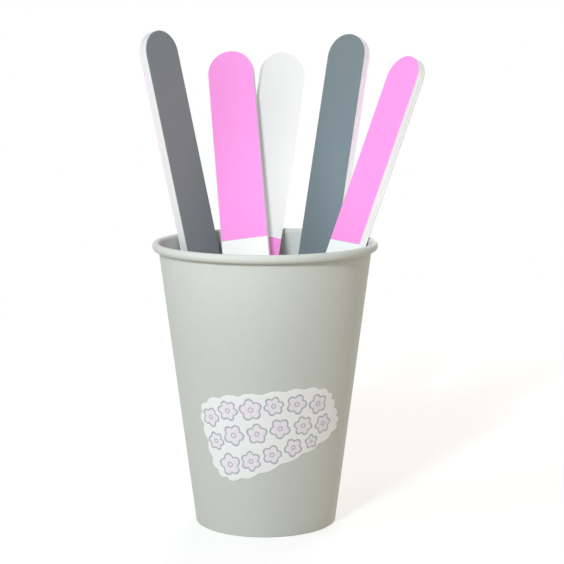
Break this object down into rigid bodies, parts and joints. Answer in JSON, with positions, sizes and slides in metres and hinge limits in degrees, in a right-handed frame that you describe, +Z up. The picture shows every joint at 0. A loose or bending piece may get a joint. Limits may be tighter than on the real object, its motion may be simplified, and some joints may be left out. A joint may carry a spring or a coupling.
{
  "type": "nail buffer set",
  "caption": "Laminated nail buffer boards standing in a flared paper cup with a rolled rim; each board has a grey face and a two-colour face and lifts out of the cup.",
  "frame": {"origin": "on the table plane, under the middle of the whole set's outer box; the cup's axis stands at x = -7.15 mm, y = -11.18 mm", "axes": "+Z up along the cup's axis, -Y is the front with the sticker, +X is to the right seen from the front"},
  "size_m": [0.116, 0.1124, 0.197],
  "materials": {
    "cup_paper": "matte grey-green coated paper",
    "sticker_vinyl": "satin white vinyl",
    "core_plastic": "plain white plastic sheet",
    "foam": "cut closed-cell foam, matt white",
    "grey_abrasive": "coarse abrasive sheet, matt",
    "pink_abrasive": "middle abrasive sheet, matt",
    "white_abrasive": "fine abrasive sheet, matt"
  },
  "bodies": {
    "cup": {"cup_wall": "cup_paper", "cup_floor": "cup_paper", "sticker": "sticker_vinyl"},
    "left_board": {"left_core": "core_plastic", "left_split_side_foam": "foam", "left_grey_side_foam": "foam", "left_grey_sheet": "grey_abrasive", "left_pink_sheet": "pink_abrasive", "left_white_sheet": "white_abrasive"},
    "front_board": {"front_core": "core_plastic", "front_split_side_foam": "foam", "front_grey_side_foam": "foam", "front_grey_sheet": "grey_abrasive", "front_pink_sheet": "pink_abrasive", "front_white_sheet": "white_abrasive"},
    "middle_board": {"middle_core": "core_plastic", "middle_split_side_foam": "foam", "middle_grey_side_foam": "foam", "middle_grey_sheet": "grey_abrasive", "middle_pink_sheet": "pink_abrasive", "middle_white_sheet": "white_abrasive"},
    "back_board": {"back_core": "core_plastic", "back_split_side_foam": "foam", "back_grey_side_foam": "foam", "back_grey_sheet": "grey_abrasive", "back_pink_sheet": "pink_abrasive", "back_white_sheet": "white_abrasive"},
    "right_board": {"right_core": "core_plastic", "right_split_side_foam": "foam", "right_grey_side_foam": "foam", "right_grey_sheet": "grey_abrasive", "right_pink_sheet": "pink_abrasive", "right_white_sheet": "white_abrasive"}
  },
  "joints": [
    {"name": "left_board_lift", "type": "slide", "parent": "cup", "child": "left_board", "axis": [-0.1978, 0.0532, 0.9788], "range_m": [0, 0.114]},
    {"name": "front_board_lift", "type": "slide", "parent": "cup", "child": "front_board", "axis": [-0.0801, 0.3606, 0.9293], "range_m": [0, 0.114]},
    {"name": "middle_board_lift", "type": "slide", "parent": "cup", "child": "middle_board", "axis": [0.1433, 0.3567, 0.9232], "range_m": [0, 0.114]},
    {"name": "back_board_lift", "type": "slide", "parent": "cup", "child": "back_board", "axis": [0.1508, 0.1934, 0.9695], "range_m": [0, 0.114]},
    {"name": "right_board_lift", "type": "slide", "parent": "cup", "child": "right_board", "axis": [0.3319, 0.2091, 0.9198], "range_m": [0, 0.114]}
  ]
}
